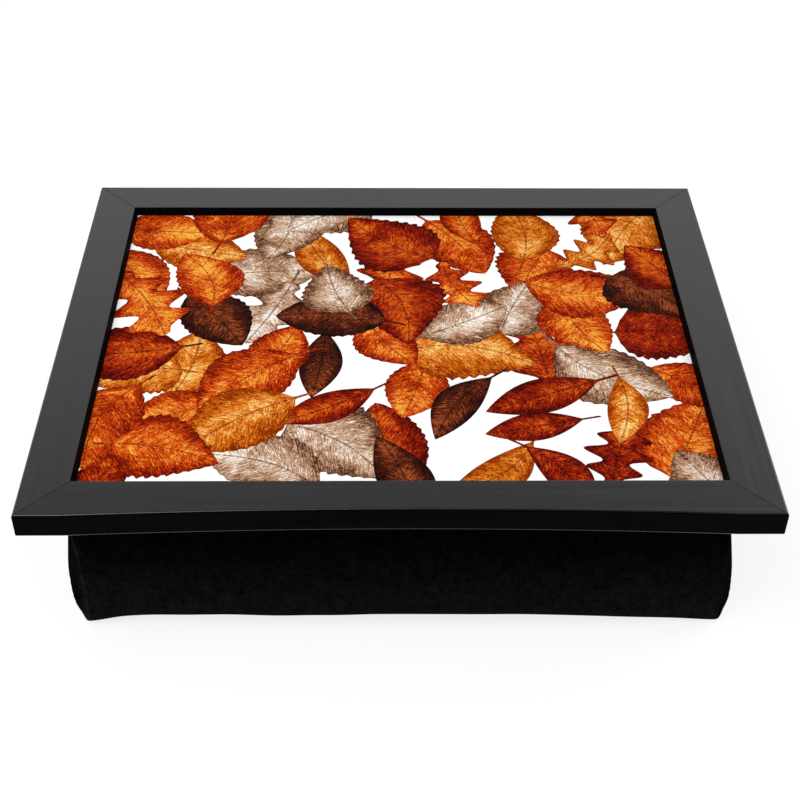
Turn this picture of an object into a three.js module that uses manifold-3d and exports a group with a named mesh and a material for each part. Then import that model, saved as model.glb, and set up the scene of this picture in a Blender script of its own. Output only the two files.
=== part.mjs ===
// Lap tray: a mitred frame holding a printed board, standing on a bead-filled bag that lifts off.
// Millimetres, +Z up, +X to the right, -Y towards the person. The origin is on the floor under the middle.

import * as THREE from 'three';
import { mergeVertices } from 'three/addons/utils/BufferGeometryUtils.js';
import Module from 'manifold-3d';

// Tray frame
const TRAY_WIDTH = 430;
const TRAY_DEPTH = 340;
const RAIL_WIDTH = 28;
const REBATE_WIDTH = 7;
const LIP_HEIGHT = 5.4;
const LIP_SLANT = 1.8;
const OUTER_EDGE_RADIUS = 1.4;
const SIGHT_EDGE_RADIUS = 0.8;
const MITRE_GAP = 0.2;

// The front edge curves in towards the middle, from a straight stretch beside each corner
const FRONT_HOLLOW = 4.6;
const HOLLOW_MARGIN = 26;

// Printed surface and the board under it
const SHEET_THICKNESS = 0.6;
const BOARD_THICKNESS = 6;
const BOARD_CLEARANCE = 0.5;

// V-shaped steel nails across the mitres, pressed in from below
const NAILS_PER_CORNER = 2;
const NAIL_LEG = 6;
const NAIL_THICKNESS = 0.8;
const NAIL_HEIGHT = 9;

// Flat steel points that keep the board in its rebate
const POINTS_ON_LONG_RAIL = 3;
const POINTS_ON_SHORT_RAIL = 2;
const POINT_WIDTH = 5;
const POINT_THICKNESS = 0.6;
const POINT_EMBED = 7;
const POINT_REACH = 7;
const POINT_TIP = 2;

// Hook tape under the board and loop tape on the bag
const TAPE_WIDTH = 20;
const TAPE_MARGIN = 8;
const TAPE_SPACING = 22;
const TAPE_CORNER_RADIUS = 2;
const HOOK_THICKNESS = 1.7;
const LOOP_THICKNESS = 1.7;

// Cushion bag
const SIDE_OVERHANG = 21;
const END_OVERHANG = 23;
const BAG_HEIGHT = 99;
const FABRIC_THICKNESS = 1.2;
const SIDE_CROWN = 9.5;
const END_CROWN = 15;
const END_SEAM_EASE = 16;
const END_TOP_EASE = 60;
const END_FOOT_EASE = 24;
const TOP_DRAW_IN = 2;
const FOOT_RADIUS = 11.5;
const EAR_RADIUS = 4;
const EAR_LENGTH = 45;

// Clearances between pieces
const SEAT_GAP = 0.2;
const SEAM_GAP = 0.3;
const SLOT_CLEARANCE = 0.3;

// Fineness of the curved surfaces
const ARC_STEPS = 4;
const HOLLOW_STEPS = 16;
const SHEET_CELLS = 4;
const WALL_STEPS = 6;
const FOOT_STEPS = 4;
const HALF_FLOOR_STEPS = 3;
const TOP_STEPS = 6;
const BAG_SECTIONS = 18;
const CROWN_SHARES = [0.975, 0.93, 0.8, 0.5, 0.25];
const MERGE_DISTANCE = 1e-4;

// Levels, from the bag up to the top of the frame
const RAIL_BOTTOM = BAG_HEIGHT + SEAT_GAP;
const LOOP_BOTTOM = BAG_HEIGHT + SEAT_GAP;
const HOOK_BOTTOM = LOOP_BOTTOM + LOOP_THICKNESS + SEAT_GAP;
const BOARD_BOTTOM = HOOK_BOTTOM + HOOK_THICKNESS + SEAT_GAP;
const SHEET_BOTTOM = BOARD_BOTTOM + BOARD_THICKNESS + SEAT_GAP;
const LIP_BOTTOM = SHEET_BOTTOM + SHEET_THICKNESS + SEAT_GAP;
const RAIL_HEIGHT = LIP_BOTTOM + LIP_HEIGHT - RAIL_BOTTOM;
const REBATE_HEIGHT = RAIL_HEIGHT - LIP_HEIGHT;

// Plan sizes that follow from the frame and the bag
const RAIL_FOOT = RAIL_WIDTH - REBATE_WIDTH;
const REBATE_OPENING_WIDTH = TRAY_WIDTH - 2 * RAIL_FOOT;
const REBATE_OPENING_DEPTH = TRAY_DEPTH - 2 * RAIL_FOOT;
const BOARD_WIDTH = REBATE_OPENING_WIDTH - 2 * BOARD_CLEARANCE;
const BOARD_DEPTH = REBATE_OPENING_DEPTH - 2 * BOARD_CLEARANCE;
const BAG_HALF_WIDTH = TRAY_WIDTH / 2 - END_OVERHANG;
const BAG_HALF_DEPTH = TRAY_DEPTH / 2 - SIDE_OVERHANG;
const WRAP_HALF_WIDTH = BAG_HALF_WIDTH - FABRIC_THICKNESS - SEAM_GAP;
const WALL_TOP = BAG_HEIGHT - FABRIC_THICKNESS - SEAM_GAP;
const TAPE_INSET = Math.max(RAIL_FOOT + POINT_REACH, SIDE_OVERHANG, END_OVERHANG) + TAPE_MARGIN;

const wasm = await Module();
wasm.setup();

function finish(color, roughness, metalness = 0) {
  return new THREE.MeshStandardMaterial({ color, roughness, metalness });
}

const FRAME_BLACK = finish(0x1a1a1b, 0.38);
const BOARD_BROWN = finish(0x7a5a3c, 0.85);
const PRINT_WHITE = finish(0xe9e4dc, 0.5);
const STEEL = finish(0x9a9ca0, 0.35, 1);
const TAPE_BLACK = finish(0x141414, 0.95);
const BAG_BLACK = finish(0x0d0d0d, 0.95);
const BEAD_WHITE = finish(0xf2f0ea, 0.9);

function piece(name, geometry, material) {
  const mesh = new THREE.Mesh(geometry, material.clone());
  mesh.name = name;
  return mesh;
}

// Closed solids for cutting, and back again

function toSolid(geometry) {
  geometry.deleteAttribute('normal');
  geometry.deleteAttribute('uv');
  const merged = mergeVertices(geometry, MERGE_DISTANCE);
  const mesh = new wasm.Mesh({
    numProp: 3,
    vertProperties: merged.attributes.position.array,
    triVerts: Uint32Array.from(merged.index.array),
  });
  return new wasm.Manifold(mesh);
}

function toGeometry(solid) {
  const mesh = solid.getMesh();
  const geometry = new THREE.BufferGeometry();
  geometry.setAttribute('position', new THREE.BufferAttribute(mesh.vertProperties, 3));
  geometry.setIndex(new THREE.BufferAttribute(mesh.triVerts, 1));
  return geometry;
}

function extrude(shape, height, steps = 1) {
  return new THREE.ExtrudeGeometry(shape, {
    depth: height,
    steps,
    bevelEnabled: false,
    curveSegments: ARC_STEPS,
  });
}

// Frame rails: x along the rail, y inwards from the outer face, z up from the underside.
// The lip's inner wall slants inwards on its way down to the printed surface.

function railProfile() {
  const profile = new THREE.Shape();
  const outer = OUTER_EDGE_RADIUS;
  const sight = SIGHT_EDGE_RADIUS;
  const slant = Math.atan2(LIP_SLANT, LIP_HEIGHT);
  const sightSetback = sight * Math.tan((Math.PI / 2 - slant) / 2);
  profile.moveTo(outer, 0);
  profile.lineTo(RAIL_FOOT, 0);
  profile.lineTo(RAIL_FOOT, REBATE_HEIGHT);
  profile.lineTo(RAIL_WIDTH + LIP_SLANT, REBATE_HEIGHT);
  profile.absarc(RAIL_WIDTH - sightSetback, RAIL_HEIGHT - sight, sight, slant, Math.PI / 2);
  profile.lineTo(outer, RAIL_HEIGHT);
  profile.absarc(outer, RAIL_HEIGHT - outer, outer, Math.PI / 2, Math.PI);
  profile.lineTo(0, outer);
  profile.absarc(outer, outer, outer, Math.PI, 1.5 * Math.PI);
  return profile;
}

// Sections along a rail, each with its share of the half length and how far the outer face stands in there.
// A straight rail has one at each end, and a hollowed one has more along the curve between.
function railStations(length, hollow) {
  const start = 1 - (2 * HOLLOW_MARGIN) / length;
  const curve = [];
  for (let k = 0; hollow > 0 && k <= HOLLOW_STEPS; k += 1) {
    const share = (2 * k) / HOLLOW_STEPS - 1;
    curve.push({ share: share * start, setIn: hollow * (1 - share ** 2) });
  }
  return [{ share: -1, setIn: 0 }, ...curve, { share: 1, setIn: 0 }];
}

function mitredRail(length, hollow) {
  const stations = railStations(length, hollow);
  const steps = stations.length - 1;
  const geometry = extrude(railProfile(), 1, steps);
  const places = geometry.attributes.position;
  for (let i = 0; i < places.count; i += 1) {
    const inward = places.getX(i);
    const up = places.getY(i);
    const { share, setIn } = stations[Math.round(steps * places.getZ(i))];
    const halfLength = length / 2 - inward - MITRE_GAP / Math.SQRT2;
    const onOuterFace = inward < OUTER_EDGE_RADIUS + MERGE_DISTANCE;
    places.setXYZ(i, share * halfLength, onOuterFace ? inward + setIn : inward, up);
  }
  return geometry;
}

// Both legs of a V nail, seen from above, with its bend at the given setback from the two outer faces
function nailShape(length, side, setback, clearance) {
  const low = -clearance;
  const high = NAIL_THICKNESS + clearance;
  const tip = NAIL_LEG + clearance;
  const outline = [[low, low], [tip, low], [tip, high], [high, high], [high, tip], [low, tip]];
  const corner = length / 2 - setback;
  const points = outline.map(([x, y]) => new THREE.Vector2(side * (corner - x), setback + y));
  return new THREE.Shape(points);
}

function nailSetbacks() {
  const pitch = RAIL_FOOT / (NAILS_PER_CORNER + 1);
  return Array.from({ length: NAILS_PER_CORNER }, (_, k) => (k + 1) * pitch);
}

function nailSlots(length) {
  const height = NAIL_HEIGHT + 2 * SLOT_CLEARANCE;
  const slots = [];
  for (const side of [-1, 1]) {
    for (const setback of nailSetbacks()) {
      const slot = extrude(nailShape(length, side, setback, SLOT_CLEARANCE), height);
      slots.push(slot.translate(0, 0, -SLOT_CLEARANCE));
    }
  }
  return slots;
}

// A flat point seen from above, square in the rail and sharp over the board
function pointShape(clearance) {
  const half = POINT_WIDTH / 2 + clearance;
  const start = RAIL_FOOT - POINT_EMBED - clearance;
  const end = RAIL_FOOT + POINT_REACH;
  const shoulder = end - POINT_TIP;
  const outline = [[-half, start], [half, start], [half, shoulder], [0, end], [-half, shoulder]];
  return new THREE.Shape(outline.map(([x, y]) => new THREE.Vector2(x, y)));
}

const POINT_BOTTOM = BOARD_BOTTOM - SEAT_GAP - POINT_THICKNESS - RAIL_BOTTOM;

function pointPlaces(length, count) {
  const pitch = (length - 2 * RAIL_FOOT) / count;
  return Array.from({ length: count }, (_, k) => (k - (count - 1) / 2) * pitch);
}

function pointSlots(length, count) {
  return pointPlaces(length, count).map((place) => {
    const slot = extrude(pointShape(SLOT_CLEARANCE), POINT_THICKNESS + 2 * SLOT_CLEARANCE);
    return slot.translate(place, 0, POINT_BOTTOM - SLOT_CLEARANCE);
  });
}

function railGeometry(length, pointCount, hollow) {
  let rail = toSolid(mitredRail(length, hollow));
  for (const slot of [...nailSlots(length), ...pointSlots(length, pointCount)]) {
    rail = rail.subtract(toSolid(slot));
  }
  return toGeometry(rail);
}

function railGroup(side, length, pointCount, hollow = 0) {
  const group = new THREE.Group();
  group.add(piece(`${side}_rail`, railGeometry(length, pointCount, hollow), FRAME_BLACK));
  pointPlaces(length, pointCount).forEach((place, k) => {
    const point = piece(`${side}_point_${k + 1}`, extrude(pointShape(0), POINT_THICKNESS), STEEL);
    point.position.set(place, 0, POINT_BOTTOM);
    group.add(point);
  });
  return group;
}

// The nails of both corners of a long rail, in that rail's own frame
function addNails(group, rail, endNames) {
  [-1, 1].forEach((side, end) => {
    nailSetbacks().forEach((setback, k) => {
      const nail = extrude(nailShape(TRAY_WIDTH, side, setback, 0), NAIL_HEIGHT);
      group.add(piece(`${rail}_${endNames[end]}_v_nail_${k + 1}`, nail, STEEL));
    });
  });
}

function trayFrame() {
  const front = railGroup('front', TRAY_WIDTH, POINTS_ON_LONG_RAIL, FRONT_HOLLOW);
  addNails(front, 'front', ['left', 'right']);
  front.position.y = -TRAY_DEPTH / 2;

  const rear = railGroup('rear', TRAY_WIDTH, POINTS_ON_LONG_RAIL);
  addNails(rear, 'rear', ['right', 'left']);
  rear.position.y = TRAY_DEPTH / 2;
  rear.rotation.z = Math.PI;

  const left = railGroup('left', TRAY_DEPTH, POINTS_ON_SHORT_RAIL);
  left.position.x = -TRAY_WIDTH / 2;
  left.rotation.z = -Math.PI / 2;

  const right = railGroup('right', TRAY_DEPTH, POINTS_ON_SHORT_RAIL);
  right.position.x = TRAY_WIDTH / 2;
  right.rotation.z = Math.PI / 2;

  const frame = new THREE.Group();
  frame.add(front, rear, left, right);
  frame.position.z = RAIL_BOTTOM;
  return frame;
}

// Board and printed sheet

function panel(name, thickness, bottom, cells, material) {
  const geometry = new THREE.BoxGeometry(BOARD_WIDTH, BOARD_DEPTH, thickness, cells, cells, 1);
  const mesh = piece(name, geometry, material);
  mesh.position.z = bottom + thickness / 2;
  return mesh;
}

// Tape strips: two run the width of the tray, and two shorter ones lie between them at the ends

function tapeShape(length) {
  const x = length / 2;
  const y = TAPE_WIDTH / 2;
  const radius = TAPE_CORNER_RADIUS;
  const shape = new THREE.Shape();
  shape.absarc(x - radius, y - radius, radius, 0, Math.PI / 2);
  shape.absarc(radius - x, y - radius, radius, Math.PI / 2, Math.PI);
  shape.absarc(radius - x, radius - y, radius, Math.PI, 1.5 * Math.PI);
  shape.absarc(x - radius, radius - y, radius, 1.5 * Math.PI, 2 * Math.PI);
  return shape;
}

function tapeStrips(kind, thickness, bottom) {
  const longLength = TRAY_WIDTH - 2 * TAPE_INSET;
  const shortLength = TRAY_DEPTH - 2 * (TAPE_INSET + TAPE_WIDTH + TAPE_SPACING);
  const endX = TRAY_WIDTH / 2 - TAPE_INSET - TAPE_WIDTH / 2;
  const sideY = TRAY_DEPTH / 2 - TAPE_INSET - TAPE_WIDTH / 2;
  const strips = [
    { side: 'front', length: longLength, x: 0, y: -sideY, turn: 0 },
    { side: 'rear', length: longLength, x: 0, y: sideY, turn: 0 },
    { side: 'left', length: shortLength, x: -endX, y: 0, turn: Math.PI / 2 },
    { side: 'right', length: shortLength, x: endX, y: 0, turn: Math.PI / 2 },
  ];
  const group = new THREE.Group();
  for (const strip of strips) {
    const geometry = extrude(tapeShape(strip.length), thickness);
    const tape = piece(`${strip.side}_${kind}_tape`, geometry, TAPE_BLACK);
    tape.position.set(strip.x, strip.y, bottom);
    tape.rotation.z = strip.turn;
    group.add(tape);
  }
  return group;
}

// Cushion bag

// The front half of the bag's outline at x, from the seam at the top down to the middle of the floor.
// The foot is rounder between the ears, and the wall swells out between the seams.
function frontOutline(x, inset) {
  const along = x / WRAP_HALF_WIDTH;
  const ease = THREE.MathUtils.smoothstep(WRAP_HALF_WIDTH - Math.abs(x), 0, EAR_LENGTH);
  const radius = THREE.MathUtils.lerp(EAR_RADIUS, FOOT_RADIUS, ease);
  const crown = SIDE_CROWN * (1 - along ** 4);
  const drawIn = TOP_DRAW_IN * (1 - along ** 2);
  const swell = (z) => crown * Math.sin((Math.PI * z) / WALL_TOP) - (drawIn * z) / WALL_TOP;
  const outline = [];
  const add = (y, z, inwardY, inwardZ) => {
    outline.push([y - swell(z) + inset * inwardY, z + inset * inwardZ]);
  };
  for (let k = 0; k < WALL_STEPS; k += 1) {
    add(-BAG_HALF_DEPTH, THREE.MathUtils.lerp(WALL_TOP, radius, k / WALL_STEPS), 1, 0);
  }
  for (let k = 0; k <= FOOT_STEPS; k += 1) {
    const angle = ((k / FOOT_STEPS) * Math.PI) / 2;
    const inwardY = Math.cos(angle);
    const inwardZ = Math.sin(angle);
    add(radius * (1 - inwardY) - BAG_HALF_DEPTH, radius * (1 - inwardZ), inwardY, inwardZ);
  }
  for (let k = 1; k <= HALF_FLOOR_STEPS; k += 1) {
    add(THREE.MathUtils.lerp(radius - BAG_HALF_DEPTH, 0, k / HALF_FLOOR_STEPS), 0, 0, 1);
  }
  return outline;
}

function wrapOutline(x, inset) {
  const front = frontOutline(x, inset);
  const rear = front.slice(0, -1).reverse().map(([y, z]) => [-y, z]);
  return [...front, ...rear];
}

// The same outline closed along the top
function closedOutline(x, inset) {
  const wrap = wrapOutline(x, inset);
  const [frontY, topZ] = wrap[0];
  const top = [];
  for (let k = 1; k < TOP_STEPS; k += 1) {
    top.push([THREE.MathUtils.lerp(-frontY, frontY, k / TOP_STEPS), topZ]);
  }
  return [...wrap, ...top];
}

function closedGeometry(points, index) {
  const geometry = new THREE.BufferGeometry();
  geometry.setAttribute('position', new THREE.Float32BufferAttribute(points.flat(), 3));
  geometry.setIndex(index);
  return geometry;
}

function quad(a, b, c, d) {
  return [a, b, c, a, c, d];
}

// A sheet between two grids of points, outer and inner, closed along its four rims
function sheetGeometry(outer, inner) {
  const rows = outer.length;
  const columns = outer[0].length;
  const out = (i, j) => i * columns + j;
  const back = (i, j) => rows * columns + i * columns + j;
  const index = [];
  for (let i = 0; i < rows - 1; i += 1) {
    for (let j = 0; j < columns - 1; j += 1) {
      index.push(...quad(out(i, j), out(i, j + 1), out(i + 1, j + 1), out(i + 1, j)));
      index.push(...quad(back(i, j), back(i + 1, j), back(i + 1, j + 1), back(i, j + 1)));
    }
  }
  const lastRow = rows - 1;
  const last = columns - 1;
  for (let j = 0; j < last; j += 1) {
    index.push(...quad(out(0, j + 1), out(0, j), back(0, j), back(0, j + 1)));
    index.push(...quad(out(lastRow, j), out(lastRow, j + 1), back(lastRow, j + 1), back(lastRow, j)));
  }
  for (let i = 0; i < lastRow; i += 1) {
    const next = i + 1;
    index.push(...quad(out(i, 0), out(next, 0), back(next, 0), back(i, 0)));
    index.push(...quad(out(next, last), out(i, last), back(i, last), back(next, last)));
  }
  return closedGeometry([...outer.flat(), ...inner.flat()], index);
}

function ringHeight(ring) {
  const levels = ring.map((point) => point[2]);
  return Math.max(...levels) - Math.min(...levels);
}

function middle(ring) {
  const sum = [0, 0, 0];
  for (const point of ring) {
    point.forEach((value, k) => { sum[k] += value; });
  }
  return sum.map((value) => value / ring.length);
}

// Rings of points joined one to the next along +X, with a fan of triangles closing each end.
// Where the rings narrow, the quads are split the other way, so that two nested pieces have like facets.
function loftGeometry(rings) {
  const count = rings[0].length;
  const points = rings.flat();
  const index = [];
  for (let i = 0; i < rings.length - 1; i += 1) {
    const narrows = ringHeight(rings[i + 1]) < ringHeight(rings[i]);
    for (let j = 0; j < count; j += 1) {
      const next = (j + 1) % count;
      const [a, b, c, d] = [i * count + j, i * count + next, (i + 1) * count + next, (i + 1) * count + j];
      index.push(...(narrows ? quad(b, c, d, a) : quad(a, b, c, d)));
    }
  }
  const lastStart = (rings.length - 1) * count;
  const firstCentre = points.push(middle(rings[0])) - 1;
  const lastCentre = points.push(middle(rings[rings.length - 1])) - 1;
  for (let j = 0; j < count; j += 1) {
    const next = (j + 1) % count;
    index.push(firstCentre, next, j);
    index.push(lastCentre, lastStart + j, lastStart + next);
  }
  return closedGeometry(points, index);
}

// A quarter wave from 0 to 1 over the given length
function riseOver(distance, length) {
  return Math.sin((Math.PI / 2) * THREE.MathUtils.clamp(distance / length, 0, 1));
}

// How far an end panel swells out of its seams: steeply beside the upright seams, and more gently up from the
// floor and down from the tray
function endSwell(y, z) {
  const fromSeam = riseOver(BAG_HALF_DEPTH - Math.abs(y), END_SEAM_EASE);
  const underTray = riseOver(WALL_TOP - z, END_TOP_EASE);
  const aboveFloor = riseOver(z, END_FOOT_EASE);
  return END_CROWN * fromSeam * underTray * aboveFloor;
}

// Rings of a crowned end: its flat rim, then smaller and smaller shares of the seam's outline
function crownedRings(rim, rimX, side) {
  const centreZ = WALL_TOP / 2;
  const seam = closedOutline(WRAP_HALF_WIDTH, 0);
  const rings = [rim.map(([y, z]) => [side * rimX, y, z])];
  for (const share of CROWN_SHARES) {
    rings.push(seam.map(([seamY, seamZ]) => {
      const y = share * seamY;
      const z = centreZ + share * (seamZ - centreZ);
      return [side * (rimX + endSwell(y, z)), y, z];
    }));
  }
  return rings;
}

function sectionPlaces() {
  const spacing = (2 * WRAP_HALF_WIDTH) / BAG_SECTIONS;
  return Array.from({ length: BAG_SECTIONS + 1 }, (_, k) => k * spacing - WRAP_HALF_WIDTH);
}

function wrapPanel() {
  const grid = (inset) => sectionPlaces().map((x) => wrapOutline(x, inset).map(([y, z]) => [x, y, z]));
  return sheetGeometry(grid(0), grid(FABRIC_THICKNESS));
}

function endPanel(side) {
  const rim = closedOutline(WRAP_HALF_WIDTH, 0);
  const outer = crownedRings(rim, BAG_HALF_WIDTH, side);
  const inner = crownedRings(rim, BAG_HALF_WIDTH - FABRIC_THICKNESS, side);
  const rings = side > 0 ? [...inner.reverse(), ...outer] : [...outer.reverse(), ...inner];
  return loftGeometry(rings);
}

function topPanel() {
  const controlY = BAG_HALF_DEPTH - 2 * TOP_DRAW_IN;
  const shape = new THREE.Shape();
  shape.moveTo(-BAG_HALF_WIDTH, -BAG_HALF_DEPTH);
  shape.quadraticCurveTo(0, -controlY, BAG_HALF_WIDTH, -BAG_HALF_DEPTH);
  shape.lineTo(BAG_HALF_WIDTH, BAG_HALF_DEPTH);
  shape.quadraticCurveTo(0, controlY, -BAG_HALF_WIDTH, BAG_HALF_DEPTH);
  return extrude(shape, FABRIC_THICKNESS);
}

function beadFilling() {
  const inset = FABRIC_THICKNESS + SEAM_GAP;
  const rim = closedOutline(WRAP_HALF_WIDTH, inset);
  const left = crownedRings(rim, WRAP_HALF_WIDTH, -1);
  const right = crownedRings(rim, WRAP_HALF_WIDTH, 1);
  const between = sectionPlaces().slice(1, -1);
  const sections = between.map((x) => closedOutline(x, inset).map(([y, z]) => [x, y, z]));
  return loftGeometry([...left.reverse(), ...sections, ...right]);
}

function cushion() {
  const group = new THREE.Group();
  group.add(piece('bag_wrap_panel', wrapPanel(), BAG_BLACK));
  group.add(piece('bag_left_end', endPanel(-1), BAG_BLACK));
  group.add(piece('bag_right_end', endPanel(1), BAG_BLACK));
  const top = piece('bag_top_panel', topPanel(), BAG_BLACK);
  top.position.z = BAG_HEIGHT - FABRIC_THICKNESS;
  group.add(top);
  group.add(piece('bead_filling', beadFilling(), BEAD_WHITE));
  group.add(tapeStrips('loop', LOOP_THICKNESS, LOOP_BOTTOM));
  return group;
}

function tray() {
  const group = new THREE.Group();
  group.add(trayFrame());
  group.add(panel('tray_board', BOARD_THICKNESS, BOARD_BOTTOM, 1, BOARD_BROWN));
  group.add(panel('printed_sheet', SHEET_THICKNESS, SHEET_BOTTOM, SHEET_CELLS, PRINT_WHITE));
  group.add(tapeStrips('hook', HOOK_THICKNESS, HOOK_BOTTOM));
  return group;
}

const lapTray = new THREE.Group();
lapTray.name = 'lap_tray';
lapTray.add(tray(), cushion());

export default lapTray;
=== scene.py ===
"""Lap tray on a bean bag: its looks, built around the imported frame. Lengths are in metres."""

import math
import random
from typing import NamedTuple

import bmesh
import bpy
from mathutils import Matrix, Vector, noise
from mathutils.geometry import delaunay_2d_cdt


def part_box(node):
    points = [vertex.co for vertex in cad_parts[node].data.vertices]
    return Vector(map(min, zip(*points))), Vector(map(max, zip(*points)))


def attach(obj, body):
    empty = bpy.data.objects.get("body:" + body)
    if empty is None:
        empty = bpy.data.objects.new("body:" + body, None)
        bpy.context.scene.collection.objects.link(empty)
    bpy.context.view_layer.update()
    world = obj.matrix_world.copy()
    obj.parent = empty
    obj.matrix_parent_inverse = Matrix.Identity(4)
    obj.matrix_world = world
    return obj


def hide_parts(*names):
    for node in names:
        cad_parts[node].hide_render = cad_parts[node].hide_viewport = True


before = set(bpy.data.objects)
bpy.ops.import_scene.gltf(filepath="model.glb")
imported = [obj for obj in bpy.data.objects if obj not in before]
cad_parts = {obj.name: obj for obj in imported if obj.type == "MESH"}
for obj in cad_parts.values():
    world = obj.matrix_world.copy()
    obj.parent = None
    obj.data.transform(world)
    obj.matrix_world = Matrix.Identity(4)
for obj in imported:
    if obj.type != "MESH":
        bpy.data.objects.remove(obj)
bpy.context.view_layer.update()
MM = 0.001
UP = Vector((0, 0, 1))
SIDES = ("front", "rear", "left", "right")

# Sizes taken from the frame

FRONT_LOW, FRONT_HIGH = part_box("front_rail")
SHEET_LOW, SHEET_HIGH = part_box("printed_sheet")
BOARD_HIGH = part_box("tray_board")[1]
BAG_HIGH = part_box("bag_top_panel")[1]
TRAY_WIDTH = 2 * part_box("right_rail")[1].x
TRAY_DEPTH = -2 * FRONT_LOW.y
RAIL_BOTTOM = FRONT_LOW.z
RAIL_TOP = FRONT_HIGH.z

# Sizes that the frame's boxes don't show, and what follows from them

LIP_SLANT = 1.8 * MM
FRONT_HOLLOW = 4.6 * MM
HOLLOW_MARGIN = 26 * MM
SEAT_GAP = 0.2 * MM
BOARD_CLEARANCE = 0.5 * MM
RAIL_WIDTH = FRONT_HIGH.y - FRONT_LOW.y - LIP_SLANT
LIP_BOTTOM = SHEET_HIGH.z + SEAT_GAP
REBATE_FROM_FACE = TRAY_DEPTH / 2 - BOARD_HIGH.y - BOARD_CLEARANCE


# Helpers for meshes

def add_object(name, data):
    made = bpy.data.objects.new(name, data)
    bpy.context.scene.collection.objects.link(made)
    return made


def add_piece(name, mesh, body, materials):
    """A new object that rides on a body, with the given materials."""
    piece = add_object(name, mesh)
    for material in materials:
        mesh.materials.append(material)
    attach(piece, body)
    return piece


def mesh_from(name, points, faces):
    mesh = bpy.data.meshes.new(name)
    mesh.from_pydata([tuple(point) for point in points], [], faces)
    mesh.update()
    return mesh


def loft(rings, count):
    """Faces of a closed tube through rings of count points, its two caps first."""
    last = (rings - 1) * count
    faces = [tuple(range(count))[::-1], tuple(range(last, last + count))]
    for start in range(0, last, count):
        for k in range(count):
            after = (k + 1) % count
            faces.append((start + k, start + after, start + count + after, start + count + k))
    return faces


def smooth(mesh, sharp_angle):
    """Smooth shading with sharp edges where faces meet at more than the angle, in degrees."""
    mesh.shade_smooth()
    mesh.set_sharp_from_angle(angle=math.radians(sharp_angle))


def mix(low, high, share):
    return low + (high - low) * share


def ease(value, low, high):
    """A smooth rise from 0 to 1 while the value goes from low to high."""
    share = min(max((value - low) / (high - low), 0.0), 1.0)
    return share * share * (3 - 2 * share)


# Helpers for materials

# Where most values of a noise lie
NOISE_RANGE = (0.2, 0.8)
# The Mix node's sockets for two colours, and for the colour that it gives
MIX_FIRST = 6
MIX_SECOND = 7
MIX_RESULT = 2


def grey(level):
    return (level, level, level, 1)


def tint(red, green, blue):
    """A colour in 8-bit screen values, as the linear values that nodes take."""
    def linear(value):
        share = value / 255
        return share / 12.92 if share <= 0.04045 else ((share + 0.055) / 1.055) ** 2.4
    return (linear(red), linear(green), linear(blue), 1.0)


class Look:
    """A new material or world, with short ways to add nodes and link them."""

    def __init__(self, name, kind=bpy.data.materials, shader="Principled BSDF"):
        self.owner = kind.new(name)
        self.owner.use_nodes = True
        self.tree = self.owner.node_tree
        self.shader = self.tree.nodes[shader]

    def feed(self, socket, value):
        """Links a socket to another node's output, or sets it to a plain value."""
        if isinstance(value, bpy.types.NodeSocket):
            self.tree.links.new(value, socket)
        else:
            socket.default_value = value

    def set(self, **inputs):
        """Feeds the main shader's sockets, with underscores for spaces, and returns the material."""
        for key, value in inputs.items():
            self.feed(self.shader.inputs[key.replace("_", " ")], value)
        return self.owner

    def node(self, kind, inputs=(), **settings):
        """The outputs of a new node, whose inputs are given as pairs of socket and value."""
        made = self.tree.nodes.new("ShaderNode" + kind)
        for key, value in settings.items():
            setattr(made, key, value)
        for place, value in inputs:
            self.feed(made.inputs[place], value)
        return made.outputs

    def place(self, kind="Object"):
        return self.node("TexCoord")[kind]

    def attribute(self, name, output="Fac"):
        return self.node("Attribute", attribute_name=name)[output]

    def split(self, vector):
        return self.node("SeparateXYZ", [(0, vector)])

    def noise(self, scale, detail=2.0, roughness=0.5, distortion=0.0, vector=None):
        """Noise over the piece or another vector. Its scale is one number, or one for each axis."""
        if vector is None:
            vector = self.place()
        if isinstance(scale, tuple):
            vector = self.node("VectorMath", [(0, vector), (1, scale)], operation="MULTIPLY")[0]
            scale = 1.0
        inputs = [("Vector", vector), ("Scale", scale), ("Detail", detail),
                  ("Roughness", roughness), ("Distortion", distortion)]
        return self.node("TexNoise", inputs)["Fac"]

    def math(self, operation, first, second=0.0):
        return self.node("Math", [(0, first), (1, second)], operation=operation)[0]

    def times(self, first, second):
        return self.math("MULTIPLY", first, second)

    def total(self, *terms):
        """The sum of values times their weights."""
        result, *others = [self.times(value, weight) for value, weight in terms]
        for other in others:
            result = self.math("ADD", result, other)
        return result

    def span(self, value, low, high, to_low=0.0, to_high=1.0):
        """The value mapped smoothly from one range to another."""
        inputs = [("Value", value), ("From Min", low), ("From Max", high),
                  ("To Min", to_low), ("To Max", to_high)]
        return self.node("MapRange", inputs, interpolation_type="SMOOTHSTEP")[0]

    def blend(self, share, first, second, mode="MIX"):
        inputs = [(0, share), (MIX_FIRST, first), (MIX_SECOND, second)]
        return self.node("Mix", inputs, data_type="RGBA", blend_type=mode)[MIX_RESULT]

    def steps(self, value, colours):
        """Picks one of the colours by a value that counts them from 0."""
        picked = self.node("ValToRGB", [(0, self.math("DIVIDE", value, len(colours)))])[0]
        ramp = picked.node.color_ramp
        ramp.interpolation = "CONSTANT"
        while len(ramp.elements) < len(colours):
            ramp.elements.new(1.0)
        for k, colour in enumerate(colours):
            ramp.elements[k].position = max(0.0, (k - 0.5) / len(colours))
            ramp.elements[k].color = colour
        return picked

    def bump(self, height, strength, distance):
        return self.node("Bump", [("Height", height), ("Strength", strength), ("Distance", distance)])[0]

    def seen_directly(self):
        """1 for rays that see the background itself: straight, mirrored or through glass."""
        path = self.node("LightPath")
        mirrored = self.math("MAXIMUM", path["Is Camera Ray"], path["Is Glossy Ray"])
        return self.math("MAXIMUM", mirrored, path["Is Transmission Ray"])


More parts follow.
